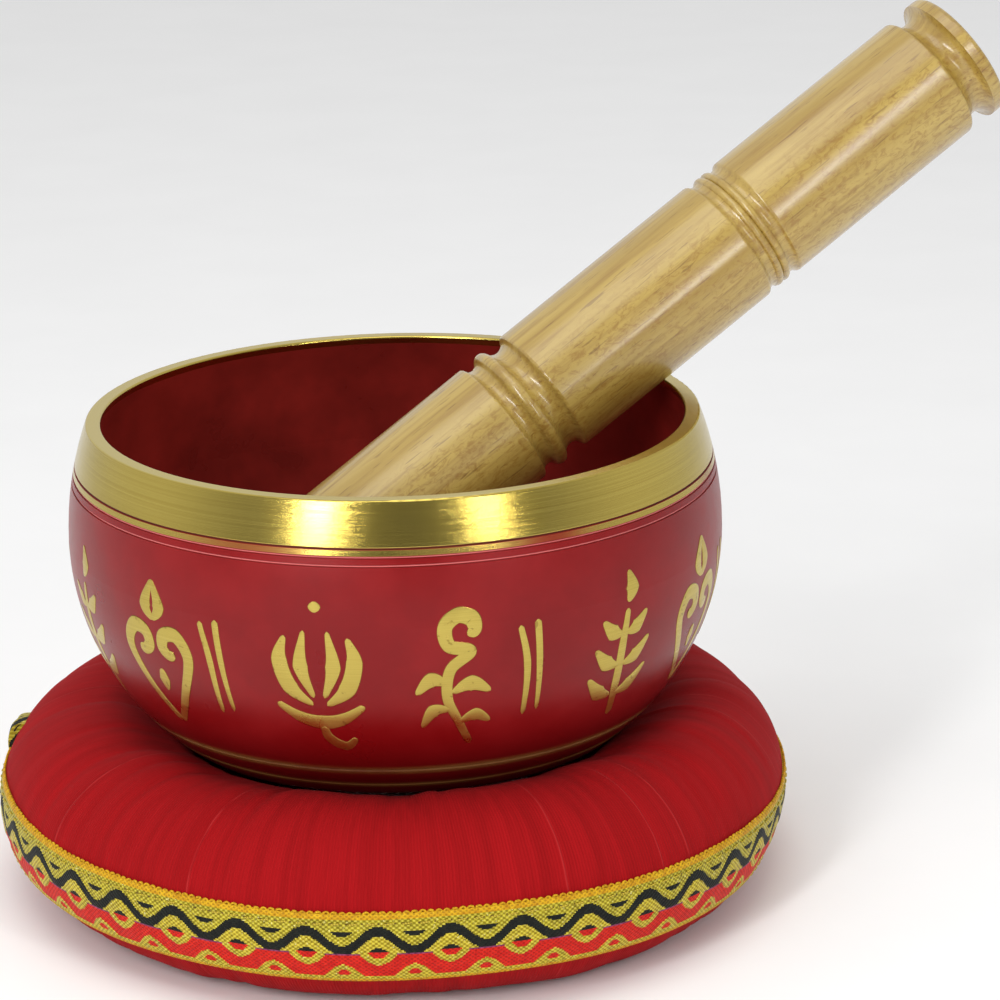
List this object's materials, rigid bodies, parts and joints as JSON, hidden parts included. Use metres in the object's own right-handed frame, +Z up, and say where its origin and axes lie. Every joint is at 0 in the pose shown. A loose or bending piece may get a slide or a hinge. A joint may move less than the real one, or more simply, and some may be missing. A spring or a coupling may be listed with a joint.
{
  "type": "singing bowl",
  "caption": "Lacquered brass singing bowl with a bare rim band, resting on a gathered ring cushion with a woven border, and a turned wooden mallet leaning in it.",
  "frame": {"origin": "floor contact plane of the cushion, on the common upright axis of the bowl and the cushion", "axes": "+Z up along the bowl's axis; +X to the side the mallet leans out over; +Y to the back"},
  "size_m": [0.1705, 0.1326, 0.1389],
  "materials": {
    "red_lacquer": "semi-gloss red lacquer over brass, cut away to bare brushed brass on the rim band, turned lines and ornaments",
    "mallet_wood": "pale straight-grained hardwood, turned and waxed",
    "red_cotton": "ribbed red cotton, gathered towards the middle",
    "stuffing": "loose fibre stuffing",
    "woven_ribbon": "jacquard ribbon in gold, black and red yarns",
    "gold_thread": "golden sewing thread",
    "red_thread": "dark red gathering thread"
  },
  "bodies": {
    "cushion": {"cushion_top_cover": "red_cotton", "cushion_bottom_cover": "red_cotton", "cushion_filling": "stuffing", "side_ribbon": "woven_ribbon", "ribbon_end_tab": "woven_ribbon", "ribbon_stitching": "gold_thread", "gather_thread": "red_thread"},
    "bowl": {"bowl": "red_lacquer"},
    "mallet": {"mallet": "mallet_wood"}
  },
  "joints": [
    {"name": "bowl_lift", "type": "slide", "parent": "cushion", "child": "bowl", "axis": [0, 0, 1], "range_m": [0, 0.12]},
    {"name": "mallet_draw", "type": "slide", "parent": "bowl", "child": "mallet", "axis": [0.7881, 0.2868, 0.5446], "range_m": [0, 0.105]}
  ]
}
